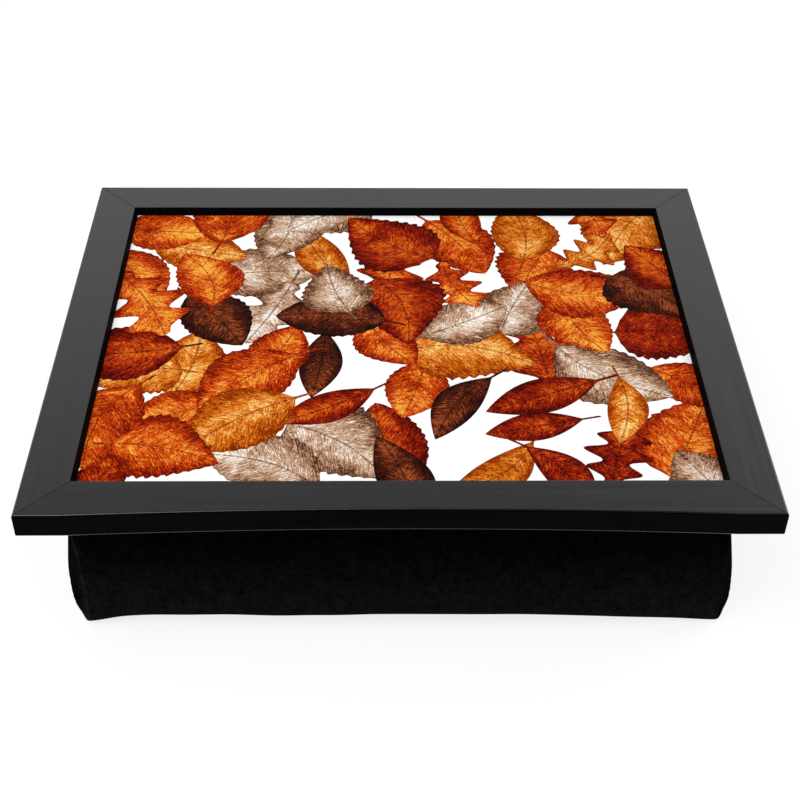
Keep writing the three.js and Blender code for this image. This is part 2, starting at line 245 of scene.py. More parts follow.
# Stage: camera, floor, light

# The camera stands at this offset from the middle of the frame's top
CAMERA_OFFSET = Vector((-0.0133, -0.7303, 0.5578))
CAMERA_AZIMUTH = math.radians(1.173)
CAMERA_DOWN = math.radians(40.248)
CAMERA_ROLL = math.radians(0.716)
FOCAL_PIXELS = 1428.7
IMAGE_PIXELS = 800
SENSOR_WIDTH_MM = 36
WORLD_LIGHT = 0.5
CEILING_LIGHT = 0.1
CEILING_HEIGHTS = (0.5, 0.9)
FLOOR_HALF_SIZE = 4.0
FLOOR_SHADOW_SHARE = 0.25
FLOOR_GLOW = 0.8
FLOOR_GREY = 0.8
# Each lamp: its place, width, and power in watts. They all face the tray.
LAMPS = [
    ("key_lamp", Vector((-0.9, -0.7, 1.9)), 1.4, 26.0),
    ("fill_lamp", Vector((1.85, 0.95, 1.44)), 1.4, 20.0),
]


def make_camera():
    level = math.cos(CAMERA_DOWN)
    forward = Vector((math.sin(CAMERA_AZIMUTH) * level,
                      math.cos(CAMERA_AZIMUTH) * level,
                      -math.sin(CAMERA_DOWN)))
    right = forward.cross(UP).normalized()
    up = right.cross(forward)
    turned_right = right * math.cos(CAMERA_ROLL) + up * math.sin(CAMERA_ROLL)
    turned_up = up * math.cos(CAMERA_ROLL) - right * math.sin(CAMERA_ROLL)
    data = bpy.data.cameras.new("camera")
    data.sensor_width = SENSOR_WIDTH_MM
    data.lens = FOCAL_PIXELS / IMAGE_PIXELS * SENSOR_WIDTH_MM
    camera = add_object("camera", data)
    rotation = Matrix((turned_right, turned_up, -forward)).transposed().to_4x4()
    camera.matrix_world = Matrix.Translation(CAMERA_OFFSET + UP * RAIL_TOP) @ rotation
    bpy.context.scene.camera = camera


def make_world():
    """White walls and a darker ceiling, as the gloss on the rails shows them."""
    look = Look("studio", bpy.data.worlds, "Background")
    bpy.context.scene.world = look.owner
    upward = look.split(look.place("Generated"))["Z"]
    ceiling = look.span(upward, *CEILING_HEIGHTS, 1.0, CEILING_LIGHT)
    inputs = [("Value", look.seen_directly()), ("To Min", WORLD_LIGHT), ("To Max", ceiling)]
    look.set(Color=grey(1), Strength=look.node("MapRange", inputs)[0])


def make_floor():
    """A pale floor that looks white where nothing shades it."""
    half = FLOOR_HALF_SIZE
    corners = [(-half, -half, 0), (half, -half, 0), (half, half, 0), (-half, half, 0)]
    mesh = mesh_from("floor", corners, [(0, 1, 2, 3)])
    floor = add_object("floor", mesh)
    look = Look("floor_white")
    look.tree.nodes.remove(look.shader)
    plain = look.node("BsdfDiffuse", [("Color", grey(FLOOR_GREY))])[0]
    shaded = look.node("BsdfDiffuse", [("Color", grey(FLOOR_SHADOW_SHARE))])[0]
    white = look.node("Emission", [("Strength", FLOOR_GLOW)])[0]
    both = look.node("AddShader", [(0, shaded), (1, white)])[0]
    choice = look.node("MixShader", [(0, look.seen_directly()), (1, plain), (2, both)])[0]
    look.feed(look.tree.nodes["Material Output"].inputs["Surface"], choice)
    mesh.materials.append(look.owner)


def make_lamps():
    for name, place, width, power in LAMPS:
        data = bpy.data.lights.new(name, "AREA")
        data.size = width
        data.energy = power
        lamp = add_object(name, data)
        lamp.location = place
        lamp.rotation_euler = (-place).to_track_quat("-Z", "Y").to_euler()


# Frame rails

RAIL_EDGE_RADIUS = 1.4 * MM
SIGHT_EDGE_RADIUS = 0.8 * MM
MITRE_HALF_GAP = 0.08 * MM
MITRE_CHAMFER = 0.14 * MM
EDGE_STEPS = 7
# The top and sight edges are satin for this many steps and take the matte copy for the rest: painted shade
# that narrows their highlight lines
BRIGHT_STEPS = 3
HOLLOW_STEPS = 48
# Each face's finish: the satin foil, or a matte copy of it as painted shade on the outer faces, walls and
# underside
SATIN = 0
SHADED_MATTE = 1
GLOSS_IOR = 1.61
# Painted shade: the front rail's sheen is lowered, so that it renders a little darker than the others
FRONT_SHADED_GLOSS_IOR = 1.56
# How fine the grain is along a rail and across it
GRAIN_ALONG = 6.0
GRAIN_ACROSS = 330.0
FOIL_DARK = grey(0.0008)
FOIL_LIGHT = (0.0062, 0.006, 0.006, 1)
FOIL_SPECK = grey(0.012)
FOIL_ROUGHNESS = 0.08
# Painted shade: the colours of the matte copy of the foil
SHADED_EDGE_DARK = grey(0.0003)
SHADED_EDGE_LIGHT = (0.0018, 0.0014, 0.0013, 1)


def satin_black(name, grain, gloss):
    """Black foil with a low sheen, its fine grain drawn along the rail."""
    look = Look(name)
    streaks = look.noise(grain, detail=5.0, roughness=0.6)
    patches = look.noise(scale=26.0, detail=3.0)
    dust = look.noise(scale=1900.0, detail=1.0)
    shade = look.blend(look.span(streaks, 0.3, 0.7), FOIL_DARK, FOIL_LIGHT)
    uneven = look.total((streaks, 0.3), (patches, 0.1))
    return look.set(
        Base_Color=look.blend(look.span(dust, 0.72, 0.8), shade, FOIL_SPECK),
        Roughness=look.math("ADD", uneven, FOIL_ROUGHNESS),
        Normal=look.bump(streaks, strength=0.12, distance=0.02 * MM),
        IOR=gloss,
    )


def shaded_matte_black(name, grain):
    """The edges of the moulding: a dull black with hardly any sheen, as painted shade that keeps the outer
    faces, walls and underside dark.
    """
    look = Look(name)
    streaks = look.noise(grain, detail=4.0)
    patches = look.noise(scale=60.0, detail=4.0, roughness=0.6)
    return look.set(
        Base_Color=look.blend(patches, SHADED_EDGE_DARK, SHADED_EDGE_LIGHT),
        Roughness=look.span(streaks, *NOISE_RANGE, 0.5, 0.7),
        Normal=look.bump(streaks, strength=0.2, distance=0.03 * MM),
        Specular_IOR_Level=0.02,
    )


def arc(inward, up, radius, start, end):
    """Points of an arc in the moulding's section, between two angles in degrees."""
    points = []
    for k in range(EDGE_STEPS + 1):
        angle = math.radians(mix(start, end, k / EDGE_STEPS))
        points.append((inward + radius * math.cos(angle), up + radius * math.sin(angle)))
    return points


def rail_section():
    """The moulding's section as points (inward, up), with the finish of the face that follows each."""
    edge = RAIL_EDGE_RADIUS
    sight = SIGHT_EDGE_RADIUS
    lower = arc(edge, RAIL_BOTTOM + edge, edge, 180, 270)
    upper = arc(edge, RAIL_TOP - edge, edge, 90, 180)
    slant = math.degrees(math.atan2(LIP_SLANT, RAIL_TOP - LIP_BOTTOM))
    setback = sight * math.tan(math.radians(90 - slant) / 2)
    inner = arc(RAIL_WIDTH - setback, RAIL_TOP - sight, sight, slant, 90)
    lip_foot = RAIL_WIDTH + LIP_SLANT
    rebate = [(REBATE_FROM_FACE, RAIL_BOTTOM), (REBATE_FROM_FACE, LIP_BOTTOM), (lip_foot, LIP_BOTTOM)]
    points = lower + rebate + inner + upper
    # Painted shade: all but the top and parts of the rounded edges take the matte copy, which narrows the
    # edges' highlight lines
    dull_steps = EDGE_STEPS - BRIGHT_STEPS
    lower_finish = [SHADED_MATTE] + [SATIN] * (EDGE_STEPS - 2) + [SHADED_MATTE]
    inner_finish = [SHADED_MATTE] * dull_steps + [SATIN] * BRIGHT_STEPS
    upper_finish = [SATIN] * BRIGHT_STEPS + [SHADED_MATTE] * dull_steps
    finishes = lower_finish + [SHADED_MATTE] * (1 + len(rebate)) + inner_finish + [SATIN] + upper_finish + [SHADED_MATTE]
    return points, finishes


def inset(points, amount):
    """The section's outline moved inwards by the amount."""
    inner = []
    for k, point in enumerate(points):
        before = Vector(point) - Vector(points[k - 1])
        after = Vector(points[(k + 1) % len(points)]) - Vector(point)
        normal = (before.normalized() + after.normalized()).normalized()
        inner.append((point[0] - amount * normal.y, point[1] + amount * normal.x))
    return inner


def set_in(points, amount):
    """The section's outline with its outer face moved inwards by the amount."""
    past_edges = 2 * RAIL_EDGE_RADIUS
    return [(inward + amount if inward < past_edges else inward, up) for inward, up in points]


def rail_rings(length, hollow):
    """Sections along a rail: the share of its half length, the outline, and its distance off the mitre."""
    points = rail_section()[0]
    small = inset(points, MITRE_CHAMFER)
    curve = []
    if hollow > 0:
        start = 1 - 2 * HOLLOW_MARGIN / length
        for k in range(HOLLOW_STEPS + 1):
            share = 2 * k / HOLLOW_STEPS - 1
            curve.append((share * start, set_in(points, hollow * (1 - share ** 2)), 0))
    first = [(-1, small, 0), (-1, points, MITRE_CHAMFER)]
    last = [(1, points, MITRE_CHAMFER), (1, small, 0)]
    return first + curve + last


def make_rail(side, length, turn, distance, materials, hollow=0.0):
    finishes = rail_section()[1]
    rings = rail_rings(length, hollow)
    places = []
    for share, ring, back in rings:
        for inward, up in ring:
            half = length / 2 - inward - MITRE_HALF_GAP - back
            places.append(Matrix.Rotation(turn, 3, "Z") @ Vector((share * half, inward - distance, up)))
    caps = [SHADED_MATTE, SHADED_MATTE]
    chamfer = [SHADED_MATTE] * len(finishes)
    runs = len(rings) - 3
    name = f"{side}_rail_moulding"
    mesh = mesh_from(name, places, loft(len(rings), len(finishes)))
    mesh.polygons.foreach_set("material_index", caps + chamfer + finishes * runs + chamfer)
    smooth(mesh, sharp_angle=30)
    rail = add_piece(name, mesh, "tray", materials)
    rail.modifiers.new("flat_faces_stay_flat", "WEIGHTED_NORMAL").keep_sharp = True
    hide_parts(f"{side}_rail")


def make_rails():
    along_x = (GRAIN_ALONG, GRAIN_ACROSS, GRAIN_ACROSS)
    along_y = (GRAIN_ACROSS, GRAIN_ALONG, GRAIN_ACROSS)
    shaded_matte_long = shaded_matte_black("shaded_matte_black_long", along_x)
    # The front rail's satin is a copy with less sheen, as painted shade
    front = [satin_black("satin_black_front", along_x, FRONT_SHADED_GLOSS_IOR), shaded_matte_long]
    rear = [satin_black("satin_black_rear", along_x, GLOSS_IOR), shaded_matte_long]
    short = [satin_black("satin_black_short", along_y, GLOSS_IOR), shaded_matte_black("shaded_matte_black_short", along_y)]
    make_rail("front", TRAY_WIDTH, 0.0, TRAY_DEPTH / 2, front, FRONT_HOLLOW)
    make_rail("rear", TRAY_WIDTH, math.pi, TRAY_DEPTH / 2, rear)
    make_rail("left", TRAY_DEPTH, -math.pi / 2, TRAY_WIDTH / 2, short)
    make_rail("right", TRAY_DEPTH, math.pi / 2, TRAY_WIDTH / 2, short)


# Printed sheet: scattered autumn leaves on white canvas

LEAF_SEED = 11
LEAF_COLUMNS = 9
LEAF_ROWS = 7
# Leaves leave the middles of their cells by these shares of a cell
LEAF_STAGGER = 0.25
JITTER_ACROSS = 0.22
JITTER_DOWN = 0.2
LEAF_LENGTHS = (67 * MM, 99 * MM)
LEAF_POINTS = 48
LEAF_RINGS = (1.0, 0.9, 0.55)
LEAF_BEND = 0.16
STEM_SHARE = 0.16
STEM_HALF_WIDTH = 0.011
CDT_CLOSENESS = 1e-6
# Each leaf set's dark, middle and light tone, after those of the bare ground
LEAF_TONES = [
    (tint(236, 234, 230), tint(246, 245, 243), tint(250, 250, 249)),  # ground
    (tint(104, 14, 2), tint(204, 64, 5), tint(250, 178, 66)),  # orange
    (tint(62, 5, 3), tint(154, 28, 4), tint(232, 112, 26)),  # rust
    (tint(126, 36, 2), tint(218, 112, 10), tint(255, 218, 128)),  # amber
    (tint(20, 6, 4), tint(76, 26, 13), tint(164, 78, 38)),  # brown
    (tint(78, 42, 28), tint(186, 140, 106), tint(250, 243, 230)),  # cream
]
KIND_WEIGHTS = [10, 6, 4, 4, 3]
DARK_TONE = 1.99
MIDDLE_TONE = 2.39
LIGHT_TONE = 2.84
VEIN_SLOPE = 0.9
SIDE_VEIN_PITCH = 4.2 * MM
SIDE_VEIN_EDGES = (0.2 * MM, 0.65 * MM)
MIDRIB_EDGES = (0.35 * MM, 0.9 * MM)
SIDE_VEIN_INK = 0.55
OUTLINE_INK = 0.8
INK = 0.85
WEAVE_SHADE = (0.4, 0.34, 0.3, 1)
LEAF_WEAVE = 0.34
GROUND_WEAVE = 0.16


class LeafShape(NamedTuple):
    """An outline: its half width as a share of its length, its lean and fullness, and its wavy edge."""

    width: float
    lean: float
    fullness: float
    edge: float = 1.0
    wave: float = 0.0
    waves: float = 0.0
    start: float = 0.0

    def half_width(self, along):
        swell = math.sin(math.pi * along ** self.lean) ** self.fullness
        return self.width * swell * (self.edge + self.wave * math.sin(along * self.waves - self.start))


BEECH = LeafShape(width=0.29, lean=0.9, fullness=0.8, wave=0.03, waves=75)
OAK = LeafShape(width=0.29, lean=1.2, fullness=0.6, edge=0.7, wave=0.3, waves=25, start=1.2 - math.pi / 2)
BIRCH = LeafShape(width=0.36, lean=0.62, fullness=0.9, wave=0.05, waves=75)
WILLOW = LeafShape(width=0.17, lean=1.0, fullness=0.9)
LEAF_SHAPES = [BEECH, OAK, BIRCH, WILLOW]
SHAPE_WEIGHTS = [4, 3, 3, 2]


class Leaf:
    """One leaf of the print: its shape, colour set, size, place and turn."""

    def __init__(self, draw, centre):
        self.shape = draw.choices(LEAF_SHAPES, SHAPE_WEIGHTS)[0]
        self.kind = draw.choices(range(1, len(LEAF_TONES)), KIND_WEIGHTS)[0]
        self.mood = draw.uniform(0, 1)
        self.length = draw.uniform(*LEAF_LENGTHS)
        self.turn = Matrix.Rotation(draw.uniform(0, 2 * math.pi), 2)
        self.bend = draw.uniform(-LEAF_BEND, LEAF_BEND)
        self.base = centre - self.turn @ Vector((self.length * (1 + STEM_SHARE) / 2, 0))

    def half_width(self, along):
        blade = (along - STEM_SHARE) / (1 - STEM_SHARE)
        if blade <= 0:
            return STEM_HALF_WIDTH
        return max(self.shape.half_width(blade), STEM_HALF_WIDTH * (1 - blade))

    def midrib(self, along):
        return self.bend * math.sin(math.pi * along)

    def ring(self, share):
        """Points around the leaf at a share of its half width."""
        points = []
        for side in (1, -1):
            steps = range(LEAF_POINTS) if side > 0 else range(LEAF_POINTS, 0, -1)
            for k in steps:
                along = k / LEAF_POINTS
                across = self.midrib(along) + side * share * self.half_width(along)
                points.append(self.base + self.turn @ (Vector((along, across)) * self.length))
        return points

    def local(self, point):
        """A point of the sheet as shares of the leaf's length along and across it."""
        inside = self.turn.transposed() @ (Vector(point) - self.base) / self.length
        along = min(max(inside.x, 0.0), 1.0)
        return along, inside.y - self.midrib(along)


def scatter_leaves():
    """Leaves on a loose grid over the sheet, in the order that they lie on each other."""
    draw = random.Random(LEAF_SEED)
    size = SHEET_HIGH - SHEET_LOW
    step = Vector((size.x / LEAF_COLUMNS, size.y / LEAF_ROWS))
    leaves = []
    for column in range(LEAF_COLUMNS):
        shift = LEAF_STAGGER if column % 2 else -LEAF_STAGGER
        for row in range(LEAF_ROWS):
            across = (column + 0.5 + draw.uniform(-JITTER_ACROSS, JITTER_ACROSS)) * step.x
            down = (row + 0.5 + shift + draw.uniform(-JITTER_DOWN, JITTER_DOWN)) * step.y
            leaves.append(Leaf(draw, Vector((SHEET_LOW.x + across, SHEET_LOW.y + down))))
    draw.shuffle(leaves)
    return leaves


def printed_canvas():
    """Canvas with a coarse ink print: washes, scribbled strokes, veins and a fine horizontal weave."""
    look = Look("printed_canvas")
    kind = look.attribute("leaf_kind")
    mood = look.attribute("leaf_mood")
    along, across, rim = look.split(look.attribute("leaf_place", "Vector"))
    tip = look.attribute("leaf_share")
    out = look.math("ABSOLUTE", across)
    down_vein = look.math("SUBTRACT", along, look.times(out, VEIN_SLOPE))
    up_vein = look.math("ADD", out, look.times(along, VEIN_SLOPE))
    scribble = look.node("CombineXYZ", [(0, down_vein), (1, up_vein), (2, kind)])[0]

    wash = look.noise(scale=85.0, detail=4.0, roughness=0.62, distortion=0.6)
    flecks = look.noise(scale=680.0, detail=3.0, roughness=0.75)
    grain = look.noise(scale=(1500.0, 850.0, 1.0), roughness=0.6)
    strokes = look.noise(scale=(880.0, 150.0, 7.0), detail=3.0, roughness=0.6, distortion=1.2,
                         vector=scribble)
    light_middle = look.span(rim, 0.1, 1.0, 0.34, -0.16)
    pale_tip = look.times(look.span(tip, 0.35, 0.95), look.span(mood, 0.45, 1.0))
    tone = look.total((light_middle, 1.0), (wash, 0.95), (strokes, 2.0), (flecks, 0.75), (grain, 0.7),
                      (pale_tip, 0.3))
    dark, middle, light = [look.steps(kind, colours) for colours in zip(*LEAF_TONES)]
    colour = look.blend(look.span(tone, DARK_TONE, MIDDLE_TONE), dark, middle)
    colour = look.blend(look.span(tone, MIDDLE_TONE, LIGHT_TONE), colour, light)

    side_vein = look.span(look.math("PINGPONG", down_vein, SIDE_VEIN_PITCH), *SIDE_VEIN_EDGES, 1.0, 0.0)
    midrib = look.span(out, *MIDRIB_EDGES, 1.0, 0.0)
    veins = look.math("MAXIMUM", look.times(side_vein, SIDE_VEIN_INK), midrib)
    outline = look.times(look.span(rim, 0.9, 0.99), OUTLINE_INK)
    inked = look.times(look.math("MAXIMUM", veins, outline), look.span(flecks, 0.3, 0.6))
    colour = look.blend(look.times(inked, INK), colour, dark)

    threads = look.noise(scale=(28.0, 1350.0, 1.0), roughness=0.6)
    weave = look.span(threads, 0.5, 0.75)
    colour = look.blend(look.times(weave, LEAF_WEAVE), colour, WEAVE_SHADE, "MULTIPLY")
    ground_dark, _, ground_light = LEAF_TONES[0]
    ground = look.blend(look.times(weave, GROUND_WEAVE), ground_light, ground_dark)
    return look.set(
        Base_Color=look.blend(look.span(kind, 0.2, 0.8), ground, colour),
        Roughness=look.span(flecks, *NOISE_RANGE, 0.5, 0.66),
        Specular_IOR_Level=0.02,
        Normal=look.bump(threads, strength=0.25, distance=0.05 * MM),
    )


def cut_sheet(leaves):
    """The sheet cut along its leaves: points, triangles, and the faces that each comes from."""
    low = SHEET_LOW.xy
    high = SHEET_HIGH.xy
    points = [low, Vector((high.x, low.y)), high, Vector((low.x, high.y))]
    faces = [(0, 1, 2, 3)]
    edges = []
    for leaf in leaves:
        for share in LEAF_RINGS:
            ring = leaf.ring(share)
            numbers = list(range(len(points), len(points) + len(ring)))
            points.extend(ring)
            if share == LEAF_RINGS[0]:
                faces.append(tuple(reversed(numbers)))
            else:
                edges.extend(zip(numbers, numbers[1:] + numbers[:1]))
    flat, _, triangles, _, _, origins = delaunay_2d_cdt(points, edges, faces, 0, CDT_CLOSENESS, True)
    return flat, triangles, origins


def thicken_sheet(form, kind_layer):
    """Gives the flat sheet its walls and its bare underside."""
    bmesh.ops.delete(form, geom=[vert for vert in form.verts if not vert.link_faces], context="VERTS")
    bmesh.ops.recalc_face_normals(form, faces=form.faces)
    rim = [edge for edge in form.edges if edge.is_boundary]
    walls = bmesh.ops.extrude_edge_only(form, edges=rim)["geom"]
    for item in walls:
        if isinstance(item, bmesh.types.BMVert):
            item.co.z = SHEET_LOW.z
    under = [item for item in walls if isinstance(item, bmesh.types.BMEdge) and item.is_boundary]
    bmesh.ops.holes_fill(form, edges=under, sides=0)
    for face in form.faces:
        if face.normal.z < 0.5:
            face[kind_layer] = 0
    bmesh.ops.recalc_face_normals(form, faces=form.faces)


def make_print():
    leaves = scatter_leaves()
    flat, triangles, origins = cut_sheet(leaves)
    form = bmesh.new()
    kind_layer = form.faces.layers.float.new("leaf_kind")
    mood_layer = form.faces.layers.float.new("leaf_mood")
    place_layer = form.loops.layers.float_vector.new("leaf_place")
    share_layer = form.loops.layers.float.new("leaf_share")
    corners = [form.verts.new((point.x, point.y, SHEET_HIGH.z)) for point in flat]
    for triangle, origin in zip(triangles, origins):
        if 0 not in origin:
            continue
        face = form.faces.new([corners[k] for k in triangle])
        top = max(origin)
        if top == 0:
            continue
        leaf = leaves[top - 1]
        face[kind_layer] = leaf.kind
        face[mood_layer] = leaf.mood
        for corner in face.loops:
            along, across = leaf.local(corner.vert.co.xy)
            rim = min(abs(across) / leaf.half_width(along), 1.0) if along < 1 else 1.0
            corner[place_layer] = Vector((along * leaf.length, across * leaf.length, rim))
            corner[share_layer] = along
    thicken_sheet(form, kind_layer)
    mesh = bpy.data.meshes.new("leaf_print")
    form.to_mesh(mesh)
    form.free()
    sheet = add_piece("leaf_print", mesh, "tray", [printed_canvas()])
    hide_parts("printed_sheet")


# Bean bag: four panels sewn along their edges, swollen by its filling

SWELL_ROOM = 1 * MM
BAG_TOP = BAG_HIGH.z
BAG_HALF_WIDTH = BAG_HIGH.x - SWELL_ROOM
BAG_HALF_DEPTH = BAG_HIGH.y
TOP_DRAW_IN = 2 * MM
LEFT_FOOT_RADIUS = 12.5 * MM
RIGHT_FOOT_RADIUS = 7 * MM
FOOT_RADIUS = 8.5 * MM
FOOT_EASE = (30 * MM, 120 * MM)
FOOT_STEPS = 6
FLOOR_LEVEL = 0.2 * MM
BAG_CELL = 6 * MM
SEAM_LOOPS = (1 * MM, 3 * MM)
END_CROWN = 12 * MM
END_SEAM_EASE = 12 * MM
END_FOOT_EASE = 10 * MM
EAR_RADIUS = 5.5 * MM
EAR_LENGTH = 20 * MM
EAR_REACH = 60 * MM
RIGHT_EAR_FLARE = 3.8 * MM
LEFT_EAR_TUCK = 2 * MM
TUCK_DEPTH = BAG_TOP / 2
# The ears' tips are pushed out within their reach, then smoothed within each rounding in turn
TIP_PUSH = Vector((2.9 * MM, 1.5 * MM, 0))
TIP_REACH = 12 * MM
TIP_ROUNDINGS = (12 * MM, 9 * MM, 6 * MM)
TIP_ROUNDS = 3
FLOOR_HELD_INSIDE = 14 * MM
TAPE_MARGIN = 3 * MM
RIM_HELD = 12 * MM
SIM_FRAMES = 20
SWELL_CAP = 9 * MM
TOP_SWELL_CAP = 1.6 * MM
CLOTH_SETTINGS = {
    "quality": 6,
    "mass": 0.25,
    "tension_stiffness": 9,
    "compression_stiffness": 9,
    "shear_stiffness": 4,
    "bending_stiffness": 4,
    "use_pressure": True,
    "uniform_pressure_force": 9,
}
SEAM_RIDGE = 1.2 * MM
RIDGE_FADE = (2 * MM, 14 * MM)
SEAM_VALLEY = 0.3 * MM
SEAM_WANDER = 0.8 * MM
WANDER_SCALE = 17
PUCKER_HEIGHT = 0.5 * MM
PUCKER_LENGTH = 9 * MM
BEAD_LUMP = 0.5 * MM
LUMP_SCALE = 34
# Painted highlight on a sewn edge, and one and two rows of points away from it. It fades from left to right.
SEAM_HIGHLIGHT_SHARES = (1.0, 0.15, 0.0)
RIGHT_HIGHLIGHT_SHARE = 0.1
SEAM_HIGHLIGHT_FADE = (-BAG_HALF_WIDTH, -BAG_HALF_WIDTH / 2)
NAP_DARK = grey(0.0003)
NAP_LIGHT = (0.0044, 0.0036, 0.0036, 1)
# Painted light: the nap's colours where the bag is painted lighter towards its foot
FOOT_LIT_DARK = (0.0039, 0.0037, 0.0037, 1)
FOOT_LIT_LIGHT = (0.0184, 0.0167, 0.017, 1)
# Painted highlight: the nap's colour along the seams
SEAM_HIGHLIGHT_NAP = (0.024, 0.0215, 0.022, 1)
MOTTLE_RANGE = (0.3, 0.8)
# Painted light, which makes the bag lighter towards its foot, thins out upwards between these heights, and
# past the end seams
PAINTED_LIGHT_HEIGHTS = (-20 * MM, 85 * MM)
END_LIGHT_FADE = 6 * MM
END_LIGHT_SHARE = 0.2


def spread(length, near_end=True):
    """Places from 0 to the length about one cell apart, and closer beside a seam."""
    start = SEAM_LOOPS[-1]
    end = length - start if near_end else length
    count = round((end - start) / BAG_CELL)
    places = [0.0, SEAM_LOOPS[0]]
    places += [mix(start, end, k / count) for k in range(count + 1)]
    if near_end:
        places += [length - SEAM_LOOPS[0], length]
    return places


WALL_SHARES = [place / (BAG_TOP - FOOT_RADIUS) for place in spread(BAG_TOP - FOOT_RADIUS, False)]
FLOOR_SHARES = [place / (2 * BAG_HALF_DEPTH) for place in spread(2 * BAG_HALF_DEPTH)]
SECTION_PLACES = [place - BAG_HALF_WIDTH for place in spread(2 * BAG_HALF_WIDTH)]
SIDE_STEPS = len(WALL_SHARES) - 1 + FOOT_STEPS
FLOOR_STEPS = len(FLOOR_SHARES) - 1


def bag_outline(x):
    """The bag's outline at x as points (y, z): down the front, along the floor and up the rear."""
    along = x / BAG_HALF_WIDTH
    from_end = BAG_HALF_WIDTH - abs(x)
    foot_by_ear = LEFT_FOOT_RADIUS if x < 0 else RIGHT_FOOT_RADIUS
    foot = mix(foot_by_ear, FOOT_RADIUS, ease(from_end, *FOOT_EASE))
    radius = mix(EAR_RADIUS, foot, ease(from_end, 0.0, EAR_LENGTH))
    drawn = TOP_DRAW_IN * (1 - along ** 2)
    wall = []
    for share in WALL_SHARES:
        z = mix(BAG_TOP, radius, share)
        wall.append((drawn * z / BAG_TOP - BAG_HALF_DEPTH, z))
    foot_y = drawn * radius / BAG_TOP + radius - BAG_HALF_DEPTH
    for k in range(1, FOOT_STEPS + 1):
        angle = math.pi / 2 * k / FOOT_STEPS
        wall.append((foot_y - radius * math.cos(angle), radius * (1 - math.sin(angle))))
    floor = [(mix(foot_y, -foot_y, share), 0.0) for share in FLOOR_SHARES[1:-1]]
    rear = [(-y, z) for y, z in reversed(wall)]
    return wall + floor + rear


def rise_over(distance, length):
    """A quarter wave from 0 to 1 over the length."""
    return math.sin(math.pi / 2 * min(max(distance / length, 0.0), 1.0))


def end_crown(y, z):
    """How far an end panel stands out of its seams before it swells."""
    from_seam = rise_over(BAG_HALF_DEPTH - abs(y), END_SEAM_EASE)
    return END_CROWN * from_seam * (1 - z / BAG_TOP) * rise_over(z, END_FOOT_EASE)


def end_point(outline, column, row):
    """A point (y, z) inside an end panel, blended from its four edges."""
    across = FLOOR_SHARES[column]
    down = row / SIDE_STEPS
    corners = [Vector(outline[k]) for k in (0, -1, SIDE_STEPS, SIDE_STEPS + FLOOR_STEPS)]
    sides = Vector(outline[row]).lerp(Vector(outline[-1 - row]), across)
    top = corners[0].lerp(corners[1], across)
    levels = top.lerp(Vector(outline[SIDE_STEPS + column]), down)
    both = top.lerp(corners[2].lerp(corners[3], across), down)
    return sides + levels - both


class BagGrid:
    """The points and faces of the closed bag, as grids of squares that share their seams."""

    def __init__(self):
        self.points = []
        self.faces = []
        self.seams = set()
        outlines = [bag_outline(x) for x in SECTION_PLACES]
        self.wrap = []
        for x, outline in zip(SECTION_PLACES, outlines):
            self.wrap.append([self.add(x, y, z) for y, z in outline])
        self.top = [self.top_row(x, row) for x, row in zip(SECTION_PLACES, self.wrap)]
        self.squares(self.wrap)
        self.squares(self.top)
        for end in (0, -1):
            self.squares(self.end_grid(SECTION_PLACES[end], outlines[end], self.wrap[end], self.top[end]))
        for row in self.wrap[0], self.wrap[-1], self.top[0], self.top[-1]:
            self.seams.update(row)
        for row in self.wrap:
            self.seams.update((row[0], row[-1]))

    def add(self, x, y, z):
        self.points.append(Vector((x, y, z)))
        return len(self.points) - 1

    def top_row(self, x, wrap_row):
        front = self.points[wrap_row[0]].y
        rear = self.points[wrap_row[-1]].y
        inner = [self.add(x, mix(front, rear, share), BAG_TOP) for share in FLOOR_SHARES[1:-1]]
        return [wrap_row[0]] + inner + [wrap_row[-1]]

    def end_grid(self, x, outline, wrap_row, top_row):
        grid = [top_row]
        for row in range(1, SIDE_STEPS):
            inner = []
            for column in range(1, FLOOR_STEPS):
                y, z = end_point(outline, column, row)
                inner.append(self.add(x + math.copysign(end_crown(y, z), x), y, z))
            grid.append([wrap_row[row]] + inner + [wrap_row[-1 - row]])
        grid.append(wrap_row[SIDE_STEPS:SIDE_STEPS + FLOOR_STEPS + 1])
        return grid

    def squares(self, grid):
        for row, after in zip(grid, grid[1:]):
            for k in range(len(row) - 1):
                self.faces.append((row[k], row[k + 1], after[k + 1], after[k]))


def shape_ears(grid):
    """Flares the right ears, tucks in the left ones and lets the seams wander a little."""
    for number, point in enumerate(grid.points):
        low = ease(BAG_TOP - point.z, 0.0, BAG_TOP)
        by_left_end = ease(-point.x, BAG_HALF_WIDTH - EAR_REACH, BAG_HALF_WIDTH)
        by_right_end = ease(point.x, BAG_HALF_WIDTH - EAR_REACH, BAG_HALF_WIDTH)
        by_seam = 1 - rise_over(BAG_HALF_DEPTH - abs(point.y), END_SEAM_EASE)
        point.x += RIGHT_EAR_FLARE * low * by_right_end
        point.x += LEFT_EAR_TUCK * by_seam * by_left_end * ease(BAG_TOP - point.z, 0.0, TUCK_DEPTH)
        if number in grid.seams and point.z < BAG_TOP - SEAT_GAP:
            wander = noise.noise_vector(point * WANDER_SCALE)
            point += SEAM_WANDER * wander * ease(point.z, 0.0, EAR_LENGTH)


def under_tape(point):
    """Whether a point of the top panel lies under a loop tape."""
    for side in SIDES:
        low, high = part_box(f"{side}_loop_tape")
        inside_x = low.x - TAPE_MARGIN < point.x < high.x + TAPE_MARGIN
        if inside_x and low.y - TAPE_MARGIN < point.y < high.y + TAPE_MARGIN:
            return True
    return False


def bag_is_held(point):
    """Whether the tray, the tapes or the floor keep a point of the bag where it is."""
    from_end = BAG_HALF_WIDTH - abs(point.x)
    from_side = BAG_HALF_DEPTH - abs(point.y)
    if point.z > BAG_TOP - SEAT_GAP:
        return min(from_end, from_side) < RIM_HELD or under_tape(point)
    return point.z < SEAT_GAP and min(from_end, from_side) > FLOOR_HELD_INSIDE


